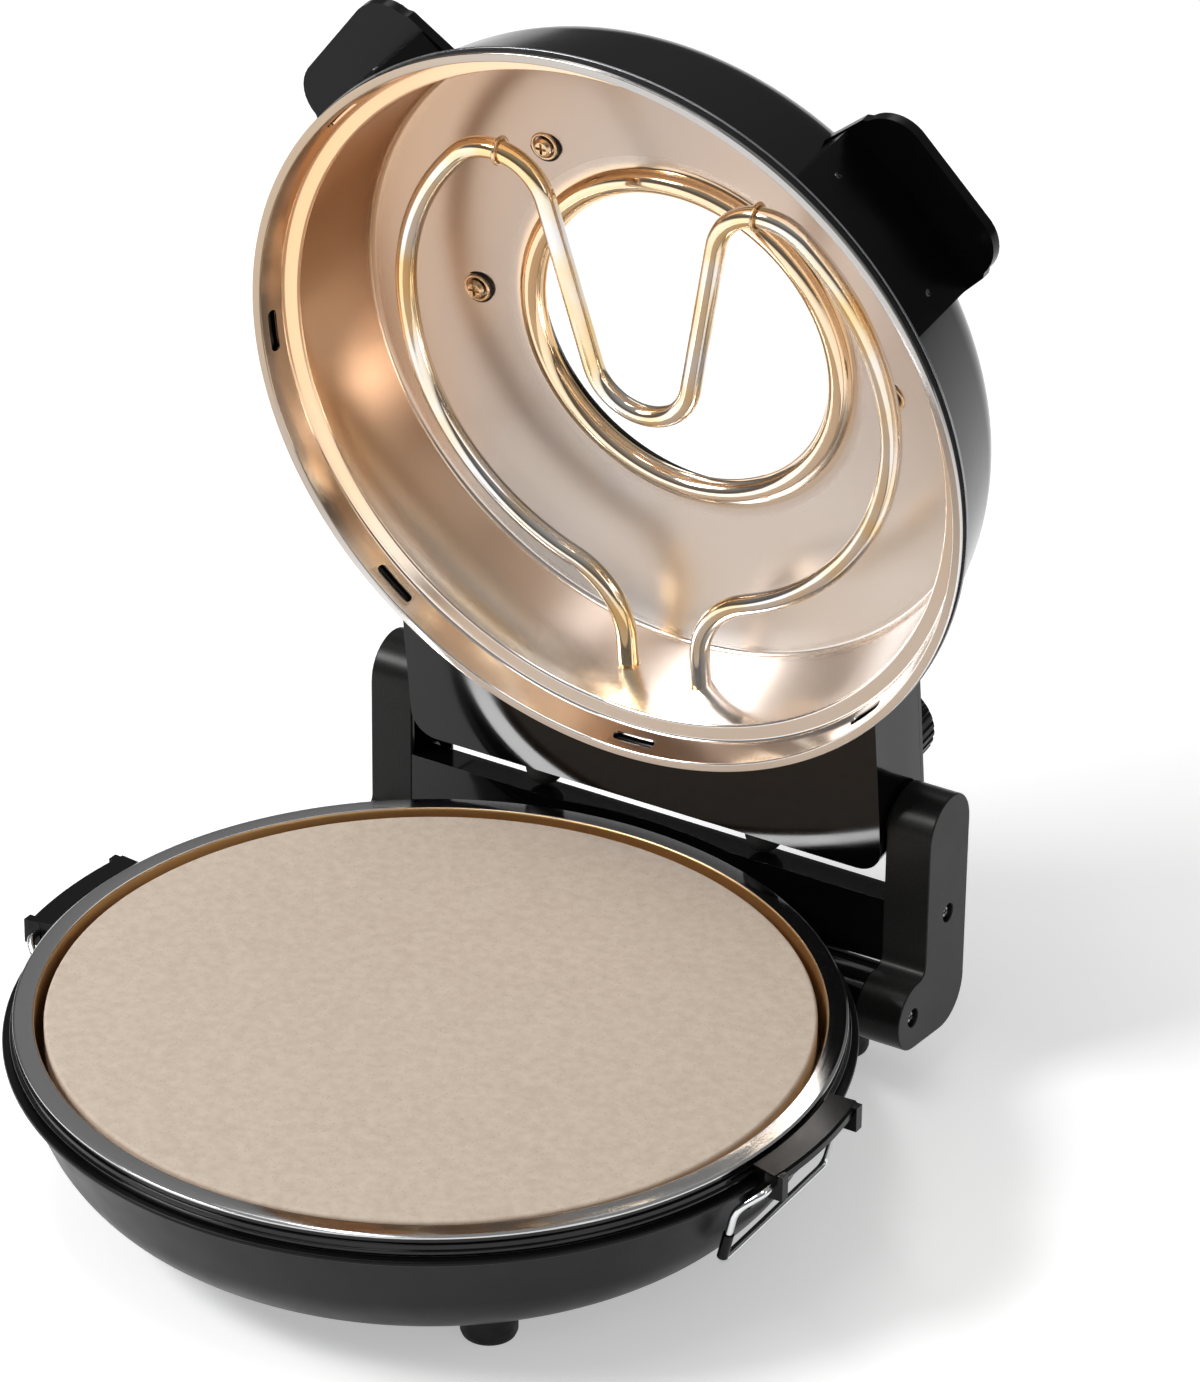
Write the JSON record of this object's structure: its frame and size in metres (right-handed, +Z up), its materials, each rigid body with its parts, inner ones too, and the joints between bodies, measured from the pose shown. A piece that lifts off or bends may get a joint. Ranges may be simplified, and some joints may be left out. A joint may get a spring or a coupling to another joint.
{
  "type": "countertop round cooker with a hinged lid",
  "caption": "Round countertop cooker: stone plate in a bowl-shaped base, hinged domed lid with a window, tube heater, two ears, side grips with wire bails, and knobs on the hinge bracket.",
  "frame": {"origin": "on the surface that the feet stand on, under the middle of the box around the cooker with its lid open", "axes": "+Z up, -Y to the front, +X to the right seen from the front; the hinge axis lies along X at the back"},
  "size_m": [0.3684, 0.3988, 0.4614],
  "materials": {
    "steel_pan": "satin, turned",
    "satin_black_paint": "satin black",
    "gloss_black": "glossy black",
    "gloss_black_paint": "glossy black",
    "warm_steel": "polished, warm",
    "heater_tube": "bright with a gold tint",
    "gold_steel": "warm gold",
    "ceramic": "matt white ceramic",
    "brass": "plain",
    "rubber": "matt",
    "screws": "plain",
    "nylon": "matt",
    "grey_plastic": "satin dark grey",
    "black_plastic": "satin black",
    "chrome_wire": "bright",
    "window_glass": "clear",
    "red_lens": "translucent red",
    "green_lens": "translucent green",
    "stone": "matt light stone"
  },
  "bodies": {
    "base": {"base_pan": "steel_pan", "reflector_pan": "steel_pan", "trim_ring": "gloss_black", "base_shell": "satin_black_paint", "belly_cover": "satin_black_paint", "belly_screws": "screws", "front_feet": "rubber", "rear_feet": "rubber", "foot_screws": "screws", "stone_rests": "steel_pan", "lower_heater": "heater_tube", "lower_heater_seals": "ceramic", "limit_thermostat": "ceramic", "rear_housing": "gloss_black", "rear_cover": "gloss_black", "rear_cover_screws": "screws", "housing_bolts": "screws", "power_inlet": "black_plastic", "inlet_pins": "brass", "left_cheek": "grey_plastic", "right_cheek": "grey_plastic", "cheek_screws": "screws", "hinge_pins": "screws", "hinge_washers": "nylon", "pin_clips": "screws", "left_grip": "black_plastic", "right_grip": "black_plastic", "grip_screws": "screws"},
    "lid": {"lid_liner": "warm_steel", "lid_cover": "gloss_black_paint", "lid_gasket": "rubber", "window_glass": "window_glass", "window_gasket": "rubber", "window_bezel": "gloss_black", "upper_heater": "heater_tube", "heater_clips": "gold_steel", "heater_bushings": "gold_steel", "heater_terminals": "brass", "liner_screws": "gold_steel", "lid_bracket": "gloss_black", "control_panel": "gloss_black", "panel_screws": "screws", "stop_bumpers": "rubber", "left_ear": "black_plastic", "right_ear": "black_plastic", "ear_screws": "screws", "timer_unit": "nylon", "thermostat_unit": "nylon", "power_lamp": "red_lens", "ready_lamp": "green_lens"},
    "stone": {"stone_plate": "stone"},
    "timer": {"timer_knob": "black_plastic", "timer_shaft": "screws"},
    "thermostat": {"thermostat_knob": "black_plastic", "thermostat_shaft": "screws"},
    "left_bail_body": {"left_bail": "chrome_wire", "left_bail_sleeve": "black_plastic"},
    "right_bail_body": {"right_bail": "chrome_wire", "right_bail_sleeve": "black_plastic"}
  },
  "joints": [
    {"name": "lid_hinge", "type": "hinge", "parent": "base", "child": "lid", "pos_m": [0, 0.16028, 0.1152], "axis": [1, 0, 0], "range_deg": [0, 82.4]},
    {"name": "stone_lift", "type": "slide", "parent": "base", "child": "stone", "axis": [0, 0, 1], "range_m": [0, 0.01]},
    {"name": "timer_turn", "type": "hinge", "parent": "lid", "child": "timer", "pos_m": [0.093, 0.17839, 0.139], "axis": [0, 0.9912, 0.1323], "range_deg": [-300, 0]},
    {"name": "thermostat_turn", "type": "hinge", "parent": "lid", "child": "thermostat", "pos_m": [-0.093, 0.17839, 0.139], "axis": [0, 0.9912, 0.1323], "range_deg": [-270, 0]},
    {"name": "left_bail_swing", "type": "hinge", "parent": "base", "child": "left_bail_body", "pos_m": [-0.17833, -0.01933, 0.0724], "axis": [0.0279, 0.9996, 0], "range_deg": [0, 190]},
    {"name": "right_bail_swing", "type": "hinge", "parent": "base", "child": "right_bail_body", "pos_m": [0.1784, -0.02432, 0.0724], "axis": [0, -1, 0], "range_deg": [0, 190]}
  ]
}
